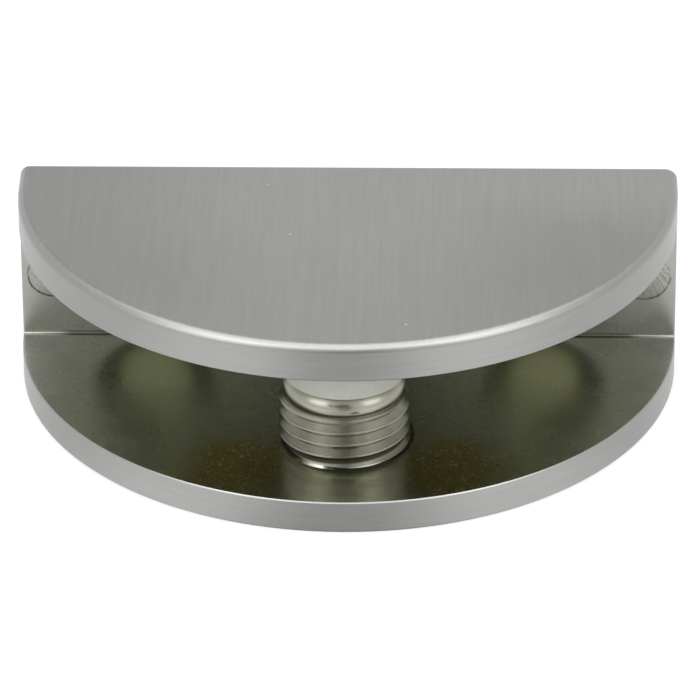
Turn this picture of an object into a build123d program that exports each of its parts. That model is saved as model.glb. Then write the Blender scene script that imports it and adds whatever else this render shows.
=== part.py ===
from build123d import *
from math import ceil, floor, isclose, radians, tan
import os

# Clamp body: two D-shaped jaws joined by a flat back wall
body_width = 50.0
body_depth = 28.0
flank_depth = 3.0
upper_jaw = 2.9
lower_jaw = 2.6
glass_gap = 10.3
back_wall = 3.0

# Edges of the casting
top_edge_round = 0.65
base_edge_chamfer = 0.2
lip_chamfer = 0.08
wall_foot_round = 0.15
left_corner_round = 0.7
right_corner_round = 1.0

# Countersunk holes for the wall screws, half-way up the gap
wall_screw_spacing = 30.0
wall_screw_hole = 5.6
wall_screw_sink = 9.6
wall_screw_sink_angle = 90.0

# Shallow round marks of the ejector pins on the inner face of the wall
ejector_mark_spacing = 45.2
ejector_mark_width = 3.9
ejector_mark_depth = 0.12

# Clamping thread, M10 x 1, right-handed, cut on a rod a little under the nominal size
thread_size = 10.0
thread_pitch = 1.0
thread_angle = 60.0
rod_undersize = 0.2
thread_crest_width = 0.21
thread_root_width = 0.2
thread_flank_clearance = 0.08
thread_crest_clearance = 0.14
thread_root_clearance = 0.18
thread_mouth_angle = -50.0
tapped_hole_chamfer = 0.5

# Clamping screw
screw_from_wall = 18.0
screw_length = 8.0
screw_above_base = 0.1
collar_setback = 0.35
collar_height = 1.5
collar_band = 0.6
collar_bulge = 0.25
neck_height = 0.15
screw_end_chamfer = 0.6
thread_end_chamfer = 0.3
socket_across_flats = 5.0
socket_depth = 4.0
socket_lead_in = 0.2

# Pressure pad, as wide as the collar
pad_thickness = 2.4
pad_top_chamfer = 0.3
pad_above_screw = 0.1
peg_diameter = 4.0
peg_length = 2.5
peg_chamfer = 0.3
peg_side_clearance = 0.05
peg_end_clearance = 0.3

# How far a cut runs out past the face that it opens
overrun = 1.0

# Levels, counted from the middle of the gap, where the wall screws sit
gap_floor = -glass_gap / 2
gap_roof = glass_gap / 2
body_base = gap_floor - lower_jaw
body_top = gap_roof + upper_jaw
screw_base = body_base + screw_above_base
screw_top = screw_base + screw_length
collar_base = screw_top - collar_height
thread_top = collar_base - neck_height
pad_base = screw_top + pad_above_screw

# Thread radii: the tapped hole has the screw's profile, set outwards by the clearance
flank_slope = tan(radians(thread_angle / 2))
flank_width = (thread_pitch - thread_root_width - thread_crest_width) / 2
screw_crest = (thread_size - rod_undersize) / 2
screw_root = screw_crest - flank_width / flank_slope
ridge_foot = screw_root - thread_root_width / 4 / flank_slope
bore_radius = screw_root + thread_root_clearance
collar_radius = screw_crest - collar_setback
pad_radius = collar_radius

upward = (Align.CENTER, Align.CENTER, Align.MIN)
screw_axis = Pos(0, -screw_from_wall, 0)


def jaw_outline():
    half = body_width / 2
    front = ThreePointArc((-half, -flank_depth), (0, -body_depth), (half, -flank_depth))
    back = Polyline((half, -flank_depth), (half, 0), (-half, 0), (-half, -flank_depth))
    outline = make_face(front + back)
    for corner_x, corner_round in ((-half, left_corner_round), (half, right_corner_round)):
        corner = outline.vertices().sort_by_distance((corner_x, 0))[0]
        outline = fillet(corner, corner_round)
    return outline


def plain_casting():
    casting = extrude(Pos(0, 0, body_base) * jaw_outline(), body_top - body_base)
    casting = fillet(casting.edges().group_by(Axis.Z)[-1], top_edge_round)
    return chamfer(casting.edges().group_by(Axis.Z)[0], base_edge_chamfer)


def glass_slot():
    to_front = (Align.CENTER, Align.MAX, Align.CENTER)
    slot = Box(body_width + 2 * overrun, body_depth - back_wall + overrun, glass_gap, align=to_front)
    slot = fillet(slot.edges().filter_by(Axis.X).group_by(Axis.Y)[-1], wall_foot_round)
    return Pos(0, -back_wall, 0) * slot


def chamfered_lips(casting):
    rims = casting.edges().filter_by(GeomType.CIRCLE)
    lips = [rim for rim in rims if isclose(abs(rim.center().Z), gap_roof)]
    return chamfer(lips, lip_chamfer)


def wall_cuts():
    wall_face = Plane(origin=(0, -back_wall, 0), x_dir=(1, 0, 0), z_dir=(0, -1, 0))
    hole_depth = back_wall + overrun
    hole = CounterSinkHole(wall_screw_hole / 2, wall_screw_sink / 2, hole_depth, wall_screw_sink_angle)
    mark = Cylinder(ejector_mark_width / 2, ejector_mark_depth + overrun, align=upward)
    mark = Pos(0, 0, -ejector_mark_depth) * mark
    holes = [wall_face * Pos(side * wall_screw_spacing / 2, 0, 0) * hole for side in (-1, 1)]
    marks = [wall_face * Pos(side * ejector_mark_spacing / 2, 0, 0) * mark for side in (-1, 1)]
    return holes + marks


def thread_ridge(crest, clearance, bottom, top):
    # The ridge turns about Z, and its middle crosses the floor of the gap at the mouth angle
    start = gap_floor + thread_pitch * (floor((bottom - gap_floor) / thread_pitch) - 1)
    end = gap_floor + thread_pitch * (ceil((top - gap_floor) / thread_pitch) + 1)
    foot = ridge_foot + clearance
    crest_half = thread_crest_width / 2 + (screw_crest + clearance - crest) * flank_slope
    foot_half = crest_half + (crest - foot) * flank_slope
    section = [(crest, crest_half), (crest, -crest_half), (foot, -foot_half), (foot, foot_half)]
    rails = []
    for radius, rise in section:
        rails.append(Helix(thread_pitch, end - start, radius, center=(0, 0, start + rise)).edge())
    sides = [Face.make_surface_from_curves(rails[i - 1], rail) for i, rail in enumerate(rails)]
    ends = [Face(Wire.make_polygon([rail @ at for rail in rails])) for at in (0, 1)]
    return Rot(0, 0, thread_mouth_angle) * Solid(Shell(sides + ends))


def tapped_hole():
    bore = Cylinder(bore_radius, lower_jaw + 2 * overrun, align=upward)
    mouth = Cone(bore_radius + tapped_hole_chamfer, bore_radius, tapped_hole_chamfer, align=upward)
    groove = thread_ridge(screw_crest + thread_crest_clearance, thread_flank_clearance, body_base, gap_floor)
    return [Pos(0, 0, body_base - overrun) * bore, Pos(0, 0, body_base) * mouth, groove]


def clamp_body():
    casting = chamfered_lips(plain_casting() - glass_slot())
    for cut in wall_cuts():
        casting -= cut
    for cut in tapped_hole():
        casting -= screw_axis * cut
    return casting


def turned(*outline):
    profile = Polyline((0, outline[0][1]), *outline, (0, outline[-1][1]), close=True)
    return revolve(Plane.XZ * make_face(profile), Axis.Z)


def threaded_rod():
    # The rod is made over-long, and its lower end is then cut to length with its chamfer
    outside = screw_crest + thread_crest_clearance
    low = screw_base - thread_pitch
    core = Pos(0, 0, low) * Cylinder(screw_root, collar_base + collar_height / 2 - low, align=upward)
    blank = turned(
        (outside, low + thread_pitch / 2),
        (outside, thread_top - thread_end_chamfer),
        (outside - thread_end_chamfer, thread_top),
    )
    ridge = thread_ridge(screw_crest, 0, screw_base, thread_top) & blank
    length = turned(
        (outside - screw_end_chamfer, screw_base),
        (outside, screw_base + screw_end_chamfer),
        (outside, screw_top),
    )
    return (core + ridge) & length


def bulged_collar():
    edge = collar_radius - collar_bulge
    rise = (collar_height - collar_band) / 2
    band_top = rise + collar_band
    return turned((edge, 0), (collar_radius, rise), (collar_radius, band_top), (edge, collar_height))


def hex_socket():
    flat_radius = socket_across_flats / 2
    hexagon = RegularPolygon(flat_radius, side_count=6, major_radius=False)
    lead_in = Cone(hexagon.radius, flat_radius, socket_lead_in, align=upward)
    return [extrude(hexagon, socket_depth), lead_in]


def clamp_screw():
    screw = threaded_rod() + Pos(0, 0, collar_base) * bulged_collar()
    for cut in hex_socket():
        screw -= Pos(0, 0, screw_base) * cut
    peg_hole_depth = peg_length - pad_above_screw + peg_end_clearance
    peg_hole = Cylinder(peg_diameter / 2 + peg_side_clearance, peg_hole_depth + overrun, align=upward)
    screw -= Pos(0, 0, screw_top - peg_hole_depth) * peg_hole
    return screw_axis * screw


def pressure_pad():
    disc = Cylinder(pad_radius, pad_thickness, align=upward)
    disc = chamfer(disc.edges().group_by(Axis.Z)[-1], pad_top_chamfer)
    peg = Pos(0, 0, -peg_length) * Cylinder(peg_diameter / 2, peg_length + pad_thickness / 2, align=upward)
    peg = chamfer(peg.edges().group_by(Axis.Z)[0], peg_chamfer)
    return screw_axis * Pos(0, 0, pad_base) * (disc + peg)


os.makedirs("parts", exist_ok=True)
export_step(clamp_body(), "parts/clamp_body.step")
export_step(clamp_screw(), "parts/clamp_screw.step")
export_step(pressure_pad(), "parts/pressure_pad.step")
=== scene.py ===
import bpy
import math
from mathutils import Matrix, Vector


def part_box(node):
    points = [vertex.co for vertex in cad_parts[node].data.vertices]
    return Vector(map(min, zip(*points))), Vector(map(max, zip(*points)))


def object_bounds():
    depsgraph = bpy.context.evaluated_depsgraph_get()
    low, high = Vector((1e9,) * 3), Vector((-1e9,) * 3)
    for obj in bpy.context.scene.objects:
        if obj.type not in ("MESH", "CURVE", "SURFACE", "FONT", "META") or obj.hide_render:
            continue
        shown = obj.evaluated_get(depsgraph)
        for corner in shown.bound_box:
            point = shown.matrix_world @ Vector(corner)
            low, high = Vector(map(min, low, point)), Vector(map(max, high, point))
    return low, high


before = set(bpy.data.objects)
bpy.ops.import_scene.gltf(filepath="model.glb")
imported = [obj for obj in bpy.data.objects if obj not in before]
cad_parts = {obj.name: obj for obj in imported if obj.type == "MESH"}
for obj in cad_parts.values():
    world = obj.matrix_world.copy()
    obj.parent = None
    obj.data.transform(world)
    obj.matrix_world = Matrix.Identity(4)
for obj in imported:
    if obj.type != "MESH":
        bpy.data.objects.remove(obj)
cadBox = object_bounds()
mm = 0.001
lowest, highest = ([value / mm for value in corner] for corner in cadBox)
screwLowest, screwHighest = ([value / mm for value in corner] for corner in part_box("clamp_screw"))

# Sizes in millimetres, X to the right, Y into the wall, Z up from the middle of the gap
clamp = {
    "base": lowest[2],
    "top": highest[2],
    "arcRadius": highest[0],
    "arcCentre": lowest[1] + highest[0],
    "gapFloor": -5.15,
    "gapRoof": 5.15,
    "wallFace": -3.0,
    "holeOffset": 15.0,
    "holeSink": 4.8,
    "markOffset": 22.6,
    "markRadius": 1.95,
    "screwAxis": (screwLowest[1] + screwHighest[1]) / 2,
    "screwRadius": screwHighest[0],
    "screwBase": screwLowest[2],
    "screwTop": screwHighest[2],
    "collarHeight": 1.5,
    "pitch": 1.0,
    "crestWidth": 0.21,
    "mouthAngle": -50.0,
}
black = (0.0, 0.0, 0.0)
white = (1.0, 1.0, 1.0)
print("frame loaded:", ", ".join(sorted(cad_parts)))


# Node helpers

def feed(tree, socket, value):
    # Another node's socket is linked, and a number, colour or vector is set
    if isinstance(value, bpy.types.NodeSocket):
        tree.links.new(value, socket)
    elif socket.type == "RGBA":
        socket.default_value = (*value, 1)
    else:
        socket.default_value = value


def addNode(tree, kind, inputs=None, **settings):
    node = tree.nodes.new(kind)
    for name, value in settings.items():
        setattr(node, name, value)
    for name, value in (inputs or {}).items():
        feed(tree, node.inputs[name], value)
    return node


def mathNode(tree, operation, *values):
    return addNode(tree, "ShaderNodeMath", dict(enumerate(values)), operation=operation).outputs[0]


def vectorNode(tree, operation, *values):
    return addNode(tree, "ShaderNodeVectorMath", dict(enumerate(values)), operation=operation).outputs[0]


def scaleVector(tree, vector, factor):
    inputs = {0: vector, "Scale": factor}
    return addNode(tree, "ShaderNodeVectorMath", inputs, operation="SCALE").outputs[0]


def splitVector(tree, vector):
    return addNode(tree, "ShaderNodeSeparateXYZ", {0: vector}).outputs


def joinVector(tree, *values):
    return addNode(tree, "ShaderNodeCombineXYZ", dict(enumerate(values))).outputs[0]


def rampNode(tree, value, low, high, outLow=0.0, outHigh=1.0):
    inputs = {"Value": value, "From Min": low, "From Max": high, "To Min": outLow, "To Max": outHigh}
    return addNode(tree, "ShaderNodeMapRange", inputs, interpolation_type="SMOOTHSTEP").outputs["Result"]


def rampFrom(tree, value, origin, ends):
    # A ramp with its two ends counted from a place on the clamp
    return rampNode(tree, value, *(origin + end for end in ends))


def turnRamp(tree, angle, ends, *levels):
    # A ramp over an angle, with its ends in degrees
    return rampNode(tree, angle, *(math.radians(end) for end in ends), *levels)


# A mix node's sockets 6 and 7 are its colours, and 4 and 5 are its vectors

def mixColour(tree, factor, a, b):
    return addNode(tree, "ShaderNodeMix", {0: factor, 6: a, 7: b}, data_type="RGBA").outputs[2]


def mixVector(tree, factor, a, b):
    return addNode(tree, "ShaderNodeMix", {0: factor, 4: a, 5: b}, data_type="VECTOR").outputs[1]


def mixShaders(tree, factor, a, b):
    return addNode(tree, "ShaderNodeMixShader", {0: factor, 1: a, 2: b}).outputs[0]


def noiseNode(tree, vector, scale, detail, roughness):
    inputs = {"Vector": vector, "Scale": scale, "Detail": detail, "Roughness": roughness}
    return addNode(tree, "ShaderNodeTexNoise", inputs).outputs["Fac"]


def lengthOf(tree, a, b):
    return mathNode(tree, "SQRT", mathNode(tree, "MULTIPLY_ADD", a, a, mathNode(tree, "MULTIPLY", b, b)))


def chain(tree, operation, values):
    result = values[0]
    for value in values[1:]:
        result = mathNode(tree, operation, result, value)
    return result


def product(tree, *values):
    return chain(tree, "MULTIPLY", values)


def strongest(tree, *masks):
    return chain(tree, "MAXIMUM", masks)


def without(tree, mask):
    return mathNode(tree, "SUBTRACT", 1.0, mask)


def scaled(values, gain):
    return tuple(value * gain for value in values)


def twoTones(tree, mask, colour, contrast):
    return mixColour(tree, mask, scaled(colour, 1 - contrast), scaled(colour, 1 + contrast))


def coat(tree, colour, over, mask, strength):
    return mixColour(tree, product(tree, mask, strength), colour, over)


def surfaceNormal(tree):
    return addNode(tree, "ShaderNodeNewGeometry").outputs["Normal"]


def upwardShare(tree):
    return splitVector(tree, surfaceNormal(tree))[2]


def bentNormal(tree, direction, share):
    # The surface's own normal, turned by a share towards a direction given in the object's axes
    turned = addNode(tree, "ShaderNodeVectorTransform", {0: direction}, vector_type="NORMAL",
                     convert_from="OBJECT", convert_to="WORLD").outputs[0]
    return vectorNode(tree, "NORMALIZE", mixVector(tree, share, surfaceNormal(tree), turned))


def bumpNormal(tree, height, relief, normal=None):
    strength, distance = relief
    inputs = {"Height": height, "Strength": strength, "Distance": distance * mm}
    if normal is not None:
        inputs["Normal"] = normal
    return addNode(tree, "ShaderNodeBump", inputs).outputs[0]


def newGroup(name, inputs, outputs):
    # Coordinates are a vector, and all other sockets are single values
    group = bpy.data.node_groups.new(name, "ShaderNodeTree")
    for direction, labels in (("INPUT", inputs), ("OUTPUT", outputs)):
        for label in labels:
            kind = "NodeSocketVector" if label == "Coordinates" else "NodeSocketFloat"
            group.interface.new_socket(name=label, in_out=direction, socket_type=kind)
    start = group.nodes.new("NodeGroupInput")
    end = group.nodes.new("NodeGroupOutput")
    return group, start.outputs, end.inputs


def placeGroup(tree, group, **values):
    return addNode(tree, "ShaderNodeGroup", values, node_tree=group).outputs


def emptyTree(owner):
    owner.use_nodes = True
    owner.node_tree.nodes.clear()
    return owner.node_tree


def newMaterial(name):
    material = bpy.data.materials.new(name)
    return material, emptyTree(material)


def addSurface(tree, colour, roughness, normal, metallic):
    inputs = {"Base Color": colour, "Roughness": roughness, "Metallic": metallic, "Normal": normal}
    shader = addNode(tree, "ShaderNodeBsdfPrincipled", inputs)
    addNode(tree, "ShaderNodeOutputMaterial", {"Surface": shader.outputs[0]})


def measure(tree):
    # The place on the object in millimetres, and lengths and the angle that masks take from it
    place = scaleVector(tree, addNode(tree, "ShaderNodeTexCoord").outputs["Object"], 1 / mm)
    x, y, z = splitVector(tree, place)
    ahead = mathNode(tree, "SUBTRACT", clamp["arcCentre"], y)
    pastAxis = mathNode(tree, "SUBTRACT", y, clamp["screwAxis"])
    return {
        "place": place,
        "x": x,
        "y": y,
        "z": z,
        "aside": mathNode(tree, "ABSOLUTE", x),
        "ahead": ahead,
        "fromCentre": lengthOf(tree, x, ahead),
        "angle": mathNode(tree, "ARCTAN2", x, ahead),
        "pastAxis": pastAxis,
        "fromAxis": lengthOf(tree, x, pastAxis),
    }


def dress(name, *materials):
    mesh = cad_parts[name].data
    mesh.materials.clear()
    for material in materials:
        mesh.materials.append(material)
    return mesh


# Shared effects

# Where noise turns into one tone or the other
noiseEnds = (0.3, 0.7)

# Each noise is given by scale, detail and roughness. The broad scratches add to the fine ones
scratches = {
    "fineNoise": (1.0, 3.0, 0.6),
    "broadNoise": (1.0, 2.0, 0.5),
    "broadScale": (0.22, 0.35, 0.22),
    "broadShare": 0.45,
}

# A dot's least size, against the one asked for, and how soft its edge is
speckShape = {"leastSize": 0.5, "edge": (0.0, 0.5)}


def makeBrushedGrain():
    # Long fine scratches: X of the coordinates runs across the grain, Y along it, in millimetres
    group, inp, out = newGroup("BrushedGrain", ("Coordinates", "Width", "Stretch"), ("Height", "Tone"))
    width = inp["Width"]
    along = mathNode(group, "MULTIPLY", width, inp["Stretch"])
    stretched = vectorNode(group, "DIVIDE", inp["Coordinates"], joinVector(group, width, along, width))
    widened = vectorNode(group, "MULTIPLY", stretched, scratches["broadScale"])
    fine = noiseNode(group, stretched, *scratches["fineNoise"])
    broad = noiseNode(group, widened, *scratches["broadNoise"])
    share = scratches["broadShare"]
    tone = mathNode(group, "MULTIPLY_ADD", broad, share, mathNode(group, "MULTIPLY", fine, 1 - share))
    group.links.new(fine, out["Height"])
    group.links.new(tone, out["Tone"])
    return group


def makeSpecks():
    # Sparse small dots of uneven size: a share of the cells holds one dot each
    inputs = ("Coordinates", "Spacing", "Size", "Share")
    group, inp, out = newGroup("Specks", inputs, ("Mask", "Random"))
    vector = scaleVector(group, inp["Coordinates"], mathNode(group, "DIVIDE", 1.0, inp["Spacing"]))
    cells = addNode(group, "ShaderNodeTexVoronoi", {"Vector": vector, "Scale": 1.0, "Randomness": 1.0})
    parts = addNode(group, "ShaderNodeSeparateColor", {0: cells.outputs["Color"]})
    chance, size, random = parts.outputs
    reach = mathNode(group, "MULTIPLY", cells.outputs["Distance"], inp["Spacing"])
    gain = mathNode(group, "ADD", size, speckShape["leastSize"])
    radius = mathNode(group, "MULTIPLY", inp["Size"], gain)
    dot = without(group, mathNode(group, "DIVIDE", reach, radius))
    chosen = mathNode(group, "LESS_THAN", chance, inp["Share"])
    group.links.new(product(group, rampNode(group, dot, *speckShape["edge"]), chosen), out["Mask"])
    group.links.new(random, out["Random"])
    return group


grainGroup = makeBrushedGrain()
specksGroup = makeSpecks()
print("effects made")


# Stage, lights and camera

# Lengths in metres, and in millimetres where they are measured from the clamp
stage = {
    "floorSize": 0.8,
    "floorPaper": 0.3,
    "floorGlow": 0.76,
    # How far the floor lies below the clamp, so that the two never share a plane
    "floorGap": 0.01,
    # How bright the metal sees the floor ahead of the clamp, to each side of that, and past the ends
    "floorAhead": 0.48,
    "floorSides": 1.08,
    "floorEnds": 0.78,
    # Degrees from straight ahead over which that rises and falls, and its fade just inside the arc
    "floorRise": (3, 28),
    "floorFall": (38, 65),
    "floorFade": (-1.0, -0.1),
    "worldLight": 0.45,
    # Name, place, aim, width and height, and level against white
    "softboxes": [
        ("overheadBox", (0.0, -0.19, 0.45), (0.0, -0.19, 0.0), (0.7, 0.62), 1.45),
        ("leftBox", (-0.32, -0.30, 0.32), (0.0, -0.02, 0.0), (0.28, 0.4), 2.0),
        ("rightBox", (0.35, -0.265, 0.32), (0.0, -0.02, 0.0), (0.28, 0.4), 2.0),
    ],
    # Cards that only reflections show: name, left and right, how far back, bottom and top, and tone
    "cards": [
        # The hole cards are dim glowing sheets just inside the wall screws' holes, a painted shade seen
        # through them
        ("leftHoleCard", (-0.0179, -0.0121), -0.0001, (-0.0029, 0.0029), (0.265, 0.285, 0.165)),
        ("rightHoleCard", (0.0121, 0.0179), -0.0001, (-0.0029, 0.0029), (0.275, 0.285, 0.165)),
        ("cardAhead", (-0.075, 0.105), -0.46, (-0.00775, 0.3), (0.3, 0.3, 0.3)),
    ],
}


def seenDirectly(tree):
    # Rays that show the stage as it looks; to all others it is only a light
    path = addNode(tree, "ShaderNodeLightPath").outputs
    return strongest(tree, path["Is Camera Ray"], path["Is Glossy Ray"], path["Is Transmission Ray"])


def makeWorld():
    world = bpy.data.worlds.new("studio")
    bpy.context.scene.world = world
    tree = emptyTree(world)
    light = addNode(tree, "ShaderNodeBackground", {"Color": white, "Strength": stage["worldLight"]})
    shown = addNode(tree, "ShaderNodeBackground", {"Color": white, "Strength": 1.0})
    mixed = mixShaders(tree, seenDirectly(tree), light.outputs[0], shown.outputs[0])
    addNode(tree, "ShaderNodeOutputWorld", {"Surface": mixed})


def makeSheet(name, corners, materialName):
    # A flat sheet, with an empty material to fill
    mesh = bpy.data.meshes.new(name)
    mesh.from_pydata(corners, [], [(0, 1, 2, 3)])
    sheet = bpy.data.objects.new(name, mesh)
    bpy.context.scene.collection.objects.link(sheet)
    material, tree = newMaterial(materialName)
    mesh.materials.append(material)
    return sheet, tree


def floorGlow(tree):
    # An even glow, but around the clamp its reflection is low straight ahead and high beside that
    at = measure(tree)
    turn = mathNode(tree, "ABSOLUTE", at["angle"])
    rise = turnRamp(tree, turn, stage["floorRise"], stage["floorAhead"], stage["floorSides"])
    fall = turnRamp(tree, turn, stage["floorFall"], 0.0, stage["floorSides"] - stage["floorEnds"])
    reflected = mathNode(tree, "SUBTRACT", rise, fall)
    gain = mathNode(tree, "SUBTRACT", reflected, stage["floorGlow"])
    inFront = rampFrom(tree, at["fromCentre"], clamp["arcRadius"], stage["floorFade"])
    glossy = addNode(tree, "ShaderNodeLightPath").outputs["Is Glossy Ray"]
    return mathNode(tree, "MULTIPLY_ADD", glossy, product(tree, gain, inFront), stage["floorGlow"])


def makeFloor():
    half = stage["floorSize"] / 2
    level = (clamp["base"] - stage["floorGap"]) * mm
    corners = [(-half, -half, level), (half, -half, level), (half, half, level), (-half, half, level)]
    tree = makeSheet("floor", corners, "floorPaper")[1]
    paper = addNode(tree, "ShaderNodeBsdfDiffuse", {"Color": scaled(white, stage["floorPaper"])})
    glow = addNode(tree, "ShaderNodeEmission", {"Color": white, "Strength": floorGlow(tree)})
    glowing = addNode(tree, "ShaderNodeAddShader", {0: paper.outputs[0], 1: glow.outputs[0]})
    above = mixShaders(tree, seenDirectly(tree), paper.outputs[0], glowing.outputs[0])

    # From below, the floor is clear and shows the underside
    clear = addNode(tree, "ShaderNodeBsdfTransparent")
    fromBelow = addNode(tree, "ShaderNodeNewGeometry").outputs["Backfacing"]
    surface = mixShaders(tree, fromBelow, above, clear.outputs[0])
    addNode(tree, "ShaderNodeOutputMaterial", {"Surface": surface})


def makeCards():
    for name, (left, right), back, (low, high), tone in stage["cards"]:
        corners = [(left, back, low), (right, back, low), (right, back, high), (left, back, high)]
        card, tree = makeSheet(name, corners, name)
        glow = addNode(tree, "ShaderNodeEmission", {"Color": tone, "Strength": 1.0})
        addNode(tree, "ShaderNodeOutputMaterial", {"Surface": glow.outputs[0]})
        card.visible_camera = False
        card.visible_diffuse = False
        card.visible_shadow = False


def makeSoftboxes():
    for name, place, aim, (width, height), level in stage["softboxes"]:
        lamp = bpy.data.lights.new(name, "AREA")
        lamp.shape = "RECTANGLE"
        lamp.size, lamp.size_y = width, height
        lamp.energy = level * math.pi * width * height
        holder = bpy.data.objects.new(name, lamp)
        bpy.context.scene.collection.objects.link(holder)
        holder.visible_camera = False
        holder.location = place
        holder.rotation_euler = (Vector(aim) - Vector(place)).to_track_quat("-Z", "Y").to_euler()


# Angles in degrees, lengths in millimetres, and the picture's middle in its own widths
cameraSetup = {
    "target": (0.0, -12.0, -0.25),
    "distance": 489.6,
    "elevation": 29.744,
    "turn": 1.434,
    "roll": -0.402,
    "lens": 336.67,
    "sensor": 36,
    "shift": (0.00293, -0.01549),
    "clip": (10, 10000),
}


def makeCamera():
    elevation, turn, roll = (math.radians(cameraSetup[name]) for name in ("elevation", "turn", "roll"))
    level = math.cos(elevation)
    back = Vector((math.sin(turn) * level, -math.cos(turn) * level, math.sin(elevation)))
    data = bpy.data.cameras.new("camera")
    data.sensor_width = cameraSetup["sensor"]
    data.lens = cameraSetup["lens"]
    data.shift_x, data.shift_y = cameraSetup["shift"]
    data.clip_start, data.clip_end = scaled(cameraSetup["clip"], mm)
    camera = bpy.data.objects.new("camera", data)
    bpy.context.scene.collection.objects.link(camera)
    camera.location = (Vector(cameraSetup["target"]) + back * cameraSetup["distance"]) * mm
    look = (-back).to_track_quat("-Z", "Y").to_matrix().to_4x4()
    camera.rotation_euler = (look @ Matrix.Rotation(roll, 4, "Z")).to_euler()
    bpy.context.scene.camera = camera


bpy.context.scene.view_settings.view_transform = "Standard"
makeWorld()
makeFloor()
makeCards()
makeSoftboxes()
makeCamera()
print("stage, lamps and camera made")


# Clamp body

# Lengths in millimetres and angles in degrees. A pair is the two ends of a ramp, and a noise is
# given by scale, detail and roughness
bodyFinish = {
    "outsideColour": (0.314, 0.313, 0.306),
    "outsideContrast": 0.055,
    "outsideRoughness": (0.31, 0.38),
    "outsideRoughEnds": (0.2, 0.8),
    "outsideGrain": {"Width": 0.065, "Stretch": 55.0},
    "levelNormal": 0.7,
    "rubbedRound": 0.75,
    # The top's front is painted darker, a painted shade: strength, share straight ahead, and where it
    # starts and ends
    "topShade": 0.165,
    "topShadeAhead": 0.35,
    "topShadeAside": (8, 50),
    "topShadeRight": (88, 64),
    "topShadeReach": (6.0, 23.0),
    "topShadeDepth": 0.05,
    # Lines of painted shade, counted from the base, the top and the back
    "baseLine": (0.21, 0.19),
    "baseNormal": (-0.95, -0.85),
    "baseStrength": 0.8,
    "backLine": (-0.5, -0.1),
    "backHeight": (-0.7, -0.5),
    "backStrength": 0.85,
    "grimeAndShadeColour": (0.10, 0.10, 0.07),
    # Pricks in the plating, the share of dark ones, and how strong they are
    "pricks": {"Spacing": 2.2, "Size": 0.1, "Share": 0.35},
    "darkShare": 0.35,
    "prickStrength": 0.35,
    "pinprickColour": (0.9, 0.9, 0.88),
    "insideColour": (0.375, 0.378, 0.352),
    "insideContrast": 0.04,
    "insideRoughness": (0.24, 0.30),
    "insideGrain": {"Width": 0.22, "Stretch": 25.0},
    "cloudNoise": (0.3, 4.0, 0.55),
    "cloudShare": 0.6,
    # The gap's floor and roof: colours, heights from each, and how far out the ends' colour starts
    "floorColour": (0.372, 0.388, 0.322),
    "endColour": (0.50, 0.51, 0.45),
    "roofColour": (0.50, 0.52, 0.40),
    "floorHeight": (0.3, 0.1),
    "floorStrength": 0.8,
    "endReach": (9.5, 18.0),
    "roofHeight": (-0.3, -0.1),
    # Holes, painted dark as painted shade: how much wider than their sizes, and how far past the face,
    # the masks start
    "holeShadeColour": (0.22, 0.225, 0.15),
    "holeMargin": 0.05,
    "holeDepth": 0.01,
    "boreShadeColour": (0.14, 0.12, 0.08),
    "boreMargin": 0.6,
    "boreDepth": -0.005,
    # The rubbed rim of the tapped hole: from the screw's radius, along X, and in height from the floor
    "rimColour": (0.30, 0.297, 0.26),
    "rimReach": (0.44, 0.36),
    "rimLeft": (-3.9, -2.5),
    "rimRight": (-0.1, -1.7),
    "rimBottom": (-0.3, -0.2),
    "rimTop": (0.4, 0.2),
    "rimGrimeAndShadeColour": (0.10, 0.035, 0.015),
    "rimGrimeAndShadeReach": (0.55, 0.4),
    "rimGrimeAndShadeLeft": (2.8, 3.8),
    "rimGrimeAndShadeNoise": (2.5, 4.0, 0.55),
    "rimGrimeAndShadeUneven": 0.3,
    "rimGrimeAndShadeStrength": 0.85,
    # The smoother patch in front of the screw, painted brighter as a painted reflection of the thread:
    # its colour's gain, its roughness's change, and its place
    "paintedSheenGain": 1.7,
    "smoothChange": -0.08,
    "smoothAndSheenAside": (6.0, 2.0),
    "smoothAndSheenAhead": (-1.5, -4.5),
    # The stain, its rusty and pale specks, and the dust on all plain faces
    "stainColour": (0.29, 0.275, 0.075),
    "stainPlace": (7.6, -23.0),
    "stainReach": (8.4, 3.8),
    "stainNoise": (0.55, 5.0, 0.65),
    "stainUneven": 4.0,
    "stainStrength": 0.9,
    "rustColour": (0.45, 0.19, 0.03),
    "rustSpecks": {"Spacing": 0.19, "Size": 0.11, "Share": 0.8},
    "rustShare": 0.85,
    "rustStrength": 0.85,
    "dustColour": (0.66, 0.65, 0.52),
    "dustSpecks": {"Spacing": 1.6, "Size": 0.07, "Share": 0.3},
    "dustStrength": 0.3,
    # Painted shade in the corner at the wall's foot: from the wall, from the floor, and short of the ends
    "cornerDepth": (-0.35, -0.2),
    "cornerHeight": (0.3, 0.15),
    "cornerEnds": (22.6, 21.2),
    "cornerStrength": 0.8,
    "grimeRoughness": 0.2,
    # Bump strength and height in millimetres
    "outsideRelief": (0.15, 0.003),
    "insideRelief": (0.2, 0.005),
    "grainRelief": 0.06,
    "markRelief": -6.0,
    # How far a face's middle may lie past the gap, the wall, a countersink or the thread
    "gapSlack": 0.01,
    "wallSlack": 0.2,
    "sinkSlack": 0.2,
    "threadSlack": 0.7,
    # The ejector marks: the uneven rim, a line of painted shade, the pits of the left one and the tool
    # marks of the right one
    "marks": {
        "unevenNoise": (1.3, 4.0, 0.55),
        "uneven": 0.3,
        "onWall": (-0.1, -0.02),
        "inside": (0.0, -0.1),
        "rim": (0.1, 0.02),
        "rimNoise": (1.7, 4.0, 0.55),
        "rimBreaks": (0.4, 0.6),
        "rimStrength": 0.6,
        "pitNoise": (4.0, 3.0, 0.7),
        "pits": (0.54, 0.68),
        "pitStrength": 0.55,
        "waves": {"Scale": 1.0, "Distortion": 12.0, "Detail": 3.0, "Detail Scale": 0.9},
        "lines": (0.45, 0.95),
        "lineStrength": 0.3,
    },
}


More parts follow.
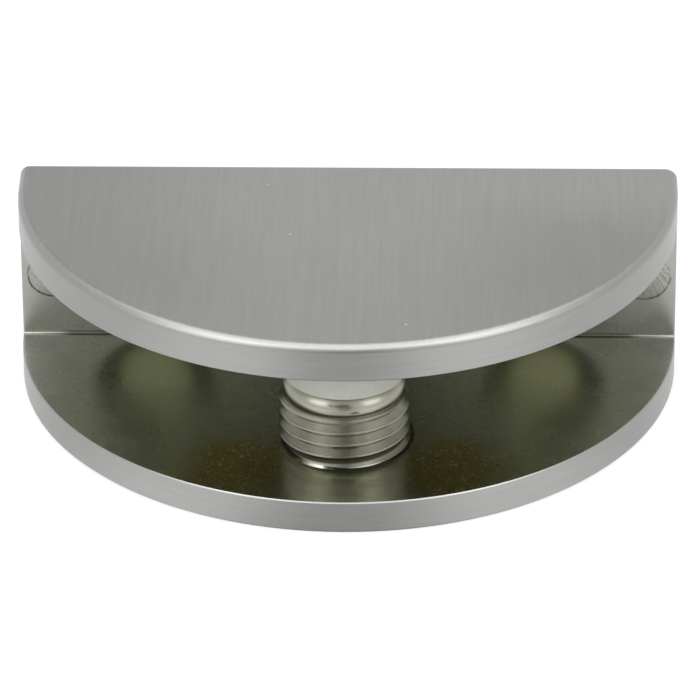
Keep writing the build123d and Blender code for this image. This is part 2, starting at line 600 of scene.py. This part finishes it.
def grainCoordinates(tree, at):
    # On level faces the grain runs front to back; on upright faces it runs round the clamp
    around = mathNode(tree, "MULTIPLY", at["angle"], clamp["arcRadius"])
    upward = mathNode(tree, "ABSOLUTE", upwardShare(tree))
    level = mathNode(tree, "GREATER_THAN", upward, bodyFinish["levelNormal"])
    return mixVector(tree, level, joinVector(tree, at["z"], around, 0.0), at["place"])


def rubbedEdge(tree, at):
    # The brushing has drawn the front edge of the top into one soft round, from the flat to the rim
    out = mathNode(tree, "SUBTRACT", at["fromCentre"], clamp["arcRadius"] - bodyFinish["rubbedRound"])
    up = mathNode(tree, "SUBTRACT", at["z"], clamp["top"] - bodyFinish["rubbedRound"])
    ratio = mathNode(tree, "DIVIDE", out, at["fromCentre"])
    backward = product(tree, at["ahead"], -1.0, ratio)
    direction = joinVector(tree, mathNode(tree, "MULTIPLY", at["x"], ratio), backward, up)
    masks = [mathNode(tree, "GREATER_THAN", value, 0.0) for value in (out, up, at["ahead"])]
    return bentNormal(tree, direction, product(tree, *masks))


def frontShade(tree, at):
    # Painted shade: the top is painted a little darker along the arc, but less straight ahead, and not at
    # the right end
    turn = mathNode(tree, "ABSOLUTE", at["angle"])
    aside = turnRamp(tree, turn, bodyFinish["topShadeAside"], bodyFinish["topShadeAhead"])
    notRight = turnRamp(tree, at["angle"], bodyFinish["topShadeRight"])
    nearArc = rampNode(tree, at["fromCentre"], *bodyFinish["topShadeReach"])
    onTop = mathNode(tree, "GREATER_THAN", at["z"], clamp["top"] - bodyFinish["topShadeDepth"])
    return product(tree, aside, notRight, nearArc, onTop)


def makeSatinNickel():
    material, tree = newMaterial("satinNickel")
    at = measure(tree)
    alongGrain = grainCoordinates(tree, at)
    grain = placeGroup(tree, grainGroup, Coordinates=alongGrain, **bodyFinish["outsideGrain"])
    tone = rampNode(tree, grain["Tone"], *noiseEnds)
    colour = twoTones(tree, tone, bodyFinish["outsideColour"], bodyFinish["outsideContrast"])
    # Painted shade along the front of the top
    colour = coat(tree, colour, black, frontShade(tree, at), bodyFinish["topShade"])

    # Thin lines of painted shade along the bottom edge and the back of the top
    grimeAndShade = bodyFinish["grimeAndShadeColour"]
    atBase = product(tree, rampFrom(tree, at["z"], clamp["base"], bodyFinish["baseLine"]),
                     rampNode(tree, upwardShare(tree), *bodyFinish["baseNormal"]))
    atBack = product(tree, rampNode(tree, at["y"], *bodyFinish["backLine"]),
                     rampFrom(tree, at["z"], clamp["top"], bodyFinish["backHeight"]))
    colour = coat(tree, colour, grimeAndShade, atBase, bodyFinish["baseStrength"])
    colour = coat(tree, colour, grimeAndShade, atBack, bodyFinish["backStrength"])

    # A few bright pinpricks and faint dark ones in the plating
    pricks = placeGroup(tree, specksGroup, Coordinates=at["place"], **bodyFinish["pricks"])
    isBright = mathNode(tree, "GREATER_THAN", pricks["Random"], bodyFinish["darkShare"])
    bright = product(tree, pricks["Mask"], isBright)
    dark = product(tree, pricks["Mask"], without(tree, isBright))
    colour = coat(tree, colour, bodyFinish["pinprickColour"], bright, bodyFinish["prickStrength"])
    colour = coat(tree, colour, grimeAndShade, dark, bodyFinish["prickStrength"])

    ends = bodyFinish["outsideRoughEnds"]
    roughness = rampNode(tree, grain["Tone"], *ends, *bodyFinish["outsideRoughness"])
    normal = bumpNormal(tree, grain["Height"], bodyFinish["outsideRelief"], rubbedEdge(tree, at))
    addSurface(tree, colour, roughness, normal, metallic=1.0)
    return material


def ejectorMarks(tree, at):
    # The marks' floors and uneven rims, the rims a dark line of painted shade; the left one is pitted,
    # the right one has wavy tool marks
    marks = bodyFinish["marks"]
    side = mathNode(tree, "SUBTRACT", at["aside"], clamp["markOffset"])
    patches = noiseNode(tree, at["place"], *marks["unevenNoise"])
    uneven = mathNode(tree, "MULTIPLY_ADD", patches, marks["uneven"], -marks["uneven"] / 2)
    reach = mathNode(tree, "ADD", lengthOf(tree, side, at["z"]), uneven)
    onWall = rampFrom(tree, at["y"], clamp["wallFace"], marks["onWall"])
    inside = product(tree, rampFrom(tree, reach, clamp["markRadius"], marks["inside"]), onWall)
    offRim = mathNode(tree, "ABSOLUTE", mathNode(tree, "SUBTRACT", reach, clamp["markRadius"]))
    broken = rampNode(tree, noiseNode(tree, at["place"], *marks["rimNoise"]), *marks["rimBreaks"])
    rim = product(tree, rampNode(tree, offRim, *marks["rim"]), onWall, broken)
    pits = rampNode(tree, noiseNode(tree, at["place"], *marks["pitNoise"]), *marks["pits"])
    waves = addNode(tree, "ShaderNodeTexWave", {"Vector": at["place"], **marks["waves"]},
                    wave_type="BANDS", bands_direction="DIAGONAL")
    lines = rampNode(tree, waves.outputs["Fac"], *marks["lines"])
    isRight = mathNode(tree, "GREATER_THAN", at["x"], 0.0)
    left = product(tree, pits, marks["pitStrength"], without(tree, isRight))
    right = product(tree, lines, marks["lineStrength"], isRight)
    return product(tree, inside, mathNode(tree, "ADD", left, right)), rim


def onGapFloor(tree, at):
    return rampFrom(tree, at["z"], clamp["gapFloor"], bodyFinish["floorHeight"])


def frontStain(tree, at):
    # Brown bloom on the lower jaw, to both sides of the screw near the front
    aside, ahead = bodyFinish["stainPlace"]
    fromMiddle = lengthOf(tree, mathNode(tree, "SUBTRACT", at["aside"], aside),
                          mathNode(tree, "SUBTRACT", at["y"], ahead))
    patches = noiseNode(tree, at["place"], *bodyFinish["stainNoise"])
    reach = mathNode(tree, "MULTIPLY_ADD", patches, bodyFinish["stainUneven"], fromMiddle)
    return product(tree, rampNode(tree, reach, *bodyFinish["stainReach"]), onGapFloor(tree, at))


def holeMasks(tree, at):
    # The wall screws' holes, and the tapped hole with its thread
    side = mathNode(tree, "SUBTRACT", at["aside"], clamp["holeOffset"])
    sinkReach = clamp["holeSink"] + bodyFinish["holeMargin"]
    inSink = mathNode(tree, "LESS_THAN", lengthOf(tree, side, at["z"]), sinkReach)
    behind = mathNode(tree, "GREATER_THAN", at["y"], clamp["wallFace"] + bodyFinish["holeDepth"])
    inBore = mathNode(tree, "LESS_THAN", at["fromAxis"], clamp["screwRadius"] + bodyFinish["boreMargin"])
    below = mathNode(tree, "LESS_THAN", at["z"], clamp["gapFloor"] + bodyFinish["boreDepth"])
    return product(tree, inSink, behind), product(tree, inBore, below)


def burnishedRim(tree, at):
    # The front left of the tapped hole's mouth is rubbed round and bright, where the thread runs out
    rim = product(
        tree,
        rampFrom(tree, at["fromAxis"], clamp["screwRadius"], bodyFinish["rimReach"]),
        rampNode(tree, at["x"], *bodyFinish["rimLeft"]),
        rampNode(tree, at["x"], *bodyFinish["rimRight"]),
        rampFrom(tree, at["z"], clamp["gapFloor"], bodyFinish["rimBottom"]),
        rampFrom(tree, at["z"], clamp["gapFloor"], bodyFinish["rimTop"]),
        mathNode(tree, "LESS_THAN", at["pastAxis"], 0.0))
    outward = joinVector(tree, at["x"], at["pastAxis"], at["fromAxis"])
    return rim, bentNormal(tree, vectorNode(tree, "NORMALIZE", outward), rim)


def rimGrimeAndShade(tree, at):
    # A reddish dark line round the right of the tapped hole's mouth: rusty grime and painted shade of the
    # gap
    patches = noiseNode(tree, at["place"], *bodyFinish["rimGrimeAndShadeNoise"])
    reach = mathNode(tree, "MULTIPLY_ADD", patches, bodyFinish["rimGrimeAndShadeUneven"], at["fromAxis"])
    nearHole = rampFrom(tree, reach, clamp["screwRadius"], bodyFinish["rimGrimeAndShadeReach"])
    atRight = rampNode(tree, at["x"], *bodyFinish["rimGrimeAndShadeLeft"])
    return product(tree, nearHole, atRight, onGapFloor(tree, at))


def smoothAndSheenPatch(tree, at):
    # The jaw is smoother in front of the screw, where it mirrors the thread, and painted brighter there
    # as a painted reflection
    aside = rampNode(tree, at["aside"], *bodyFinish["smoothAndSheenAside"])
    inFront = rampNode(tree, at["pastAxis"], *bodyFinish["smoothAndSheenAhead"])
    return product(tree, aside, onGapFloor(tree, at), inFront)


def cornerShade(tree, at):
    # Painted shade in the corner at the wall's foot
    nearWall = rampFrom(tree, at["y"], clamp["wallFace"], bodyFinish["cornerDepth"])
    nearFloor = rampFrom(tree, at["z"], clamp["gapFloor"], bodyFinish["cornerHeight"])
    offEnds = rampNode(tree, at["aside"], *bodyFinish["cornerEnds"])
    return product(tree, nearWall, nearFloor, offEnds)


def makePlainNickel():
    material, tree = newMaterial("plainNickel")
    at = measure(tree)
    clouds = noiseNode(tree, at["place"], *bodyFinish["cloudNoise"])
    grain = placeGroup(tree, grainGroup, Coordinates=at["place"], **bodyFinish["insideGrain"])
    share = bodyFinish["cloudShare"]
    tone = product(tree, rampNode(tree, clouds, *noiseEnds), share)
    tone = mathNode(tree, "MULTIPLY_ADD", rampNode(tree, grain["Tone"], *noiseEnds), 1 - share, tone)
    colour = twoTones(tree, tone, bodyFinish["insideColour"], bodyFinish["insideContrast"])
    nearEnds = rampNode(tree, at["aside"], *bodyFinish["endReach"])
    floorColour = mixColour(tree, nearEnds, bodyFinish["floorColour"], bodyFinish["endColour"])
    colour = coat(tree, colour, floorColour, onGapFloor(tree, at), bodyFinish["floorStrength"])
    onRoof = rampFrom(tree, at["z"], clamp["gapRoof"], bodyFinish["roofHeight"])
    colour = mixColour(tree, onRoof, colour, bodyFinish["roofColour"])
    inHole, inBore = holeMasks(tree, at)
    # Painted shade: the wall screws' holes and the tapped hole's bore are painted dark
    colour = mixColour(tree, inHole, colour, bodyFinish["holeShadeColour"])
    colour = mixColour(tree, inBore, colour, bodyFinish["boreShadeColour"])
    smoothAndSheen = smoothAndSheenPatch(tree, at)
    # Painted reflection: the patch in front of the screw is painted brighter
    colour = mixColour(tree, smoothAndSheen, colour, scaled(bodyFinish["floorColour"], bodyFinish["paintedSheenGain"]))

    # Stain with rusty and pale specks, and dust
    bloom = product(tree, frontStain(tree, at), without(tree, smoothAndSheen))
    colour = coat(tree, colour, bodyFinish["stainColour"], bloom, bodyFinish["stainStrength"])
    specks = placeGroup(tree, specksGroup, Coordinates=at["place"], **bodyFinish["rustSpecks"])
    isPale = mathNode(tree, "GREATER_THAN", specks["Random"], bodyFinish["rustShare"])
    speckColour = mixColour(tree, isPale, bodyFinish["rustColour"], bodyFinish["dustColour"])
    speck = product(tree, specks["Mask"], bloom)
    colour = coat(tree, colour, speckColour, speck, bodyFinish["rustStrength"])
    dust = placeGroup(tree, specksGroup, Coordinates=at["place"], **bodyFinish["dustSpecks"])
    colour = coat(tree, colour, bodyFinish["dustColour"], dust["Mask"], bodyFinish["dustStrength"])

    # Ejector marks with rims of painted shade, painted shade in the corner, and the rim of the tapped
    # hole
    worked, markRim = ejectorMarks(tree, at)
    markedAndShaded = strongest(tree, worked, product(tree, markRim, bodyFinish["marks"]["rimStrength"]),
                       product(tree, cornerShade(tree, at), bodyFinish["cornerStrength"]))
    colour = mixColour(tree, markedAndShaded, colour, bodyFinish["grimeAndShadeColour"])
    rubbed, rimNormal = burnishedRim(tree, at)
    colour = mixColour(tree, rubbed, colour, bodyFinish["rimColour"])
    # Rusty grime with painted shade of the gap round the right of the mouth
    strength = bodyFinish["rimGrimeAndShadeStrength"]
    colour = coat(tree, colour, bodyFinish["rimGrimeAndShadeColour"], rimGrimeAndShade(tree, at), strength)

    roughness = rampNode(tree, clouds, *noiseEnds, *bodyFinish["insideRoughness"])
    roughness = mathNode(tree, "MULTIPLY_ADD", smoothAndSheen, bodyFinish["smoothChange"], roughness)
    dull = strongest(tree, markedAndShaded, inHole, inBore)
    roughness = mathNode(tree, "MULTIPLY_ADD", dull, bodyFinish["grimeRoughness"], roughness)
    relief = product(tree, grain["Height"], bodyFinish["grainRelief"])
    relief = mathNode(tree, "MULTIPLY_ADD", worked, bodyFinish["markRelief"], relief)
    normal = bumpNormal(tree, relief, bodyFinish["insideRelief"], rimNormal)
    addSurface(tree, colour, roughness, normal, metallic=1.0)
    return material


def isInside(face):
    # Faces of the gap, of the wall screws' holes and of the tapped hole
    x, y, z = (value / mm for value in face.center)
    inFrontOfWall = y < clamp["wallFace"] + bodyFinish["wallSlack"]
    inGap = abs(z) < clamp["gapRoof"] + bodyFinish["gapSlack"] and inFrontOfWall
    fromHole = math.hypot(abs(x) - clamp["holeOffset"], z)
    inSink = fromHole < clamp["holeSink"] + bodyFinish["sinkSlack"]
    inHole = clamp["wallFace"] < y < -bodyFinish["gapSlack"] and inSink
    fromAxis = math.hypot(x, y - clamp["screwAxis"])
    inThread = z < 0 and fromAxis < clamp["screwRadius"] + bodyFinish["threadSlack"]
    return inGap or inHole or inThread


bodyMesh = dress("clamp_body", makeSatinNickel(), makePlainNickel())
for bodyFace in bodyMesh.polygons:
    bodyFace.material_index = int(isInside(bodyFace))
print("clamp body finished")


# Clamping screw

# As for the body, with heights along the thread in turns
screwFinish = {
    "colour": (0.197, 0.191, 0.153),
    "contrast": 0.07,
    "roughness": (0.28, 0.53),
    "cloudNoise": (1.2, 5.0, 0.6),
    "cloudEnds": (0.35, 0.65),
    "relief": (0.2, 0.02),
    "outerSide": -0.75,
    "collarColour": (0.34, 0.336, 0.292),
    "collarBulge": 1.1,
    "collarUpright": 0.2,
    # The thread's lower turns are painted darker, a painted shade of the jaw: how much, and how far clear
    # of collar and jaw that changes
    "jawShade": 0.2,
    "jawShadeSpace": 0.5,
    # Turns up from the middle of the ridge, for the worn crests with their painted highlight and for the
    # painted highlight on the turn in the hole's mouth
    "crestWearAndHighlightGain": 1.4,
    "crestTop": (-0.02, -0.07),
    "crestFoot": (-0.06, -0.02),
    "mouthHighlightColour": (0.235, 0.232, 0.195),
    "mouthTop": (0.26, 0.2),
    "mouthFoot": (-0.16, -0.12),
    "mouthRight": (3.2, 1.4),
    "mouthLeft": (-3.6, -2.6),
    # Grime and painted shade: heights from the collar's foot, reach from the screw's radius, and turns at
    # the mouth
    "grimeAndShade": (0.02, 0.02, 0.013),
    "grimeAndShadeStrength": 0.85,
    "grooveFoot": (-0.2, -0.14),
    "grooveTop": (0.14, 0.02),
    "grooveReach": (-0.3, -0.36),
    "grooveStrength": 0.6,
    "lowestGrooveFoot": (0.22, 0.3),
    "lowestGrooveTop": (0.84, 0.76),
    "belowMouth": (-0.12, -0.3),
    "belowStrength": 0.65,
    "specks": {"Spacing": 0.8, "Size": 0.1, "Share": 0.22},
    "speckStrength": 0.4,
    # Darker patches on the screw's front, by place across and up, then by half-width and half-height
    "darkPatches": [
        (-0.2, -0.15, 0.9, 0.16),
        (0.9, -0.75, 0.35, 0.14),
        (0.0, -2.62, 1.5, 0.2),
        (0.2, -3.7, 1.2, 0.24),
        (0.5, -4.35, 1.5, 0.16),
    ],
    "darkPatchNoise": (2.2, 5.0, 0.7),
    "darkPatchUneven": 2.4,
    "darkPatchEnds": (2.4, 1.6),
    "darkPatchStrength": 0.7,
    # How far worn flanks stand up and crests lean up, and where wear starts above the screw's foot
    "flankWear": 0.6,
    "crestTilt": 0.4,
    "mouthTilt": 0.5,
    "wearFrom": 0.6,
}


def threadPhase(tree, at):
    # Counts turns up the thread: whole numbers lie on the middle of its ridge
    turns = mathNode(tree, "DIVIDE", mathNode(tree, "ARCTAN2", at["pastAxis"], at["x"]), math.tau)
    rise = mathNode(tree, "SUBTRACT", at["z"], clamp["gapFloor"])
    phase = mathNode(tree, "SUBTRACT", mathNode(tree, "DIVIDE", rise, clamp["pitch"]), turns)
    return mathNode(tree, "ADD", phase, clamp["mouthAngle"] / 360)


def darkPatches(tree, at):
    uneven = noiseNode(tree, at["place"], *screwFinish["darkPatchNoise"])
    masks = []
    for across, up, halfWidth, halfHeight in screwFinish["darkPatches"]:
        side = mathNode(tree, "DIVIDE", mathNode(tree, "SUBTRACT", at["x"], across), halfWidth)
        rise = mathNode(tree, "DIVIDE", mathNode(tree, "SUBTRACT", at["z"], up), halfHeight)
        fromMiddle = lengthOf(tree, side, rise)
        reach = mathNode(tree, "MULTIPLY_ADD", uneven, screwFinish["darkPatchUneven"], fromMiddle)
        masks.append(rampNode(tree, reach, *screwFinish["darkPatchEnds"]))
    inFront = mathNode(tree, "LESS_THAN", at["y"], clamp["screwAxis"])
    return product(tree, strongest(tree, *masks), inFront)


def screwGrimeAndShade(tree, at, phase, collarBase):
    # Grime with painted shade in the groove under the collar, painted shade in the lowest groove at the
    # mouth and below it, and darker patches
    groove = product(
        tree,
        rampFrom(tree, at["z"], collarBase, screwFinish["grooveFoot"]),
        rampFrom(tree, at["z"], collarBase, screwFinish["grooveTop"]),
        rampFrom(tree, at["fromAxis"], clamp["screwRadius"], screwFinish["grooveReach"]),
        screwFinish["grooveStrength"])
    lowest = product(tree, rampNode(tree, phase, *screwFinish["lowestGrooveFoot"]),
                     rampNode(tree, phase, *screwFinish["lowestGrooveTop"]))
    below = product(tree, rampNode(tree, phase, *screwFinish["belowMouth"]), screwFinish["belowStrength"])
    patched = product(tree, darkPatches(tree, at), screwFinish["darkPatchStrength"])
    return strongest(tree, groove, lowest, below, patched)


def makeZincPlate():
    material, tree = newMaterial("zincPlate")
    at = measure(tree)
    outerRadius = clamp["screwRadius"] + screwFinish["outerSide"]
    outerSide = mathNode(tree, "GREATER_THAN", at["fromAxis"], outerRadius)
    collarBase = clamp["screwTop"] - clamp["collarHeight"]
    onCollar = mathNode(tree, "GREATER_THAN", at["z"], collarBase)
    clouds = noiseNode(tree, at["place"], *screwFinish["cloudNoise"])
    tone = rampNode(tree, clouds, *screwFinish["cloudEnds"])
    colour = twoTones(tree, tone, screwFinish["colour"], screwFinish["contrast"])
    # Painted shade: the thread is painted darker towards the jaw
    space = screwFinish["jawShadeSpace"]
    nearJaw = rampNode(tree, at["z"], collarBase - space, clamp["gapFloor"] + space)
    colour = coat(tree, colour, black, nearJaw, screwFinish["jawShade"])

    # The crests are worn and painted brighter along their lower edge, partly a painted highlight
    phase = threadPhase(tree, at)
    offCrest = mathNode(tree, "SUBTRACT", phase, mathNode(tree, "ROUND", phase))
    crestHalf = clamp["crestWidth"] / 2 / clamp["pitch"]
    onCrest = product(
        tree,
        rampFrom(tree, offCrest, crestHalf, screwFinish["crestTop"]),
        rampFrom(tree, offCrest, -crestHalf, screwFinish["crestFoot"]),
        without(tree, onCollar))
    colour = mixColour(tree, onCrest, colour, scaled(screwFinish["colour"], screwFinish["crestWearAndHighlightGain"]))

    # The turn that shows in the mouth of the hole is painted brighter, a painted highlight
    inMouth = product(
        tree,
        rampNode(tree, phase, *screwFinish["mouthTop"]),
        rampNode(tree, phase, *screwFinish["mouthFoot"]),
        rampNode(tree, at["x"], *screwFinish["mouthRight"]),
        rampNode(tree, at["x"], *screwFinish["mouthLeft"]))
    colour = mixColour(tree, inMouth, colour, screwFinish["mouthHighlightColour"])
    colour = mixColour(tree, onCollar, colour, screwFinish["collarColour"])

    specks = placeGroup(tree, specksGroup, Coordinates=at["place"], **screwFinish["specks"])
    # Grime and painted shade on the thread, and dark specks
    grimeAndShade = strongest(tree, product(tree, screwGrimeAndShade(tree, at, phase, collarBase), outerSide),
                      product(tree, specks["Mask"], screwFinish["speckStrength"]))
    grimeAndShade = product(tree, grimeAndShade, screwFinish["grimeAndShadeStrength"])
    colour = mixColour(tree, grimeAndShade, colour, screwFinish["grimeAndShade"])
    roughness = rampNode(tree, grimeAndShade, 0.0, 1.0, *screwFinish["roughness"])

    # Worn flanks stand up a little, crests lean up, and the collar is one soft bulge
    upright = collarBase + clamp["collarHeight"] * screwFinish["collarUpright"]
    bulge = product(tree, mathNode(tree, "SUBTRACT", at["z"], upright),
                    screwFinish["collarBulge"] / clamp["collarHeight"], onCollar)
    tilt = product(tree, onCrest, screwFinish["crestTilt"])
    tilt = mathNode(tree, "MULTIPLY_ADD", inMouth, screwFinish["mouthTilt"], tilt)
    rise = product(tree, at["fromAxis"], mathNode(tree, "ADD", bulge, tilt))
    outward = vectorNode(tree, "NORMALIZE", joinVector(tree, at["x"], at["pastAxis"], rise))
    wear = screwFinish["flankWear"]
    share = mathNode(tree, "MULTIPLY_ADD", strongest(tree, onCollar, onCrest, inMouth), 1.0 - wear, wear)
    aboveFoot = mathNode(tree, "GREATER_THAN", at["z"], clamp["screwBase"] + screwFinish["wearFrom"])
    worn = bentNormal(tree, outward, product(tree, share, outerSide, aboveFoot))
    normal = bumpNormal(tree, clouds, screwFinish["relief"], worn)
    addSurface(tree, colour, roughness, normal, metallic=1.0)
    return material


dress("clamp_screw", makeZincPlate())
print("clamping screw finished")


# Pressure pad

padFinish = {
    "colour": (0.88, 0.88, 0.852),
    "dullShare": 0.94,
    "cloudNoise": (1.1, 5.0, 0.6),
    "cloudEnds": (0.35, 0.65),
    "roughness": (0.40, 0.52),
    "relief": (0.2, 0.01),
}


def makeWhitePlastic():
    material, tree = newMaterial("whitePlastic")
    clouds = noiseNode(tree, measure(tree)["place"], *padFinish["cloudNoise"])
    tone = rampNode(tree, clouds, *padFinish["cloudEnds"])
    dull = scaled(padFinish["colour"], padFinish["dullShare"])
    colour = mixColour(tree, tone, dull, padFinish["colour"])
    roughness = rampNode(tree, clouds, *noiseEnds, *padFinish["roughness"])
    normal = bumpNormal(tree, clouds, padFinish["relief"])
    addSurface(tree, colour, roughness, normal, metallic=0.0)
    return material


dress("pressure_pad", makeWhitePlastic())
print("pressure pad finished")
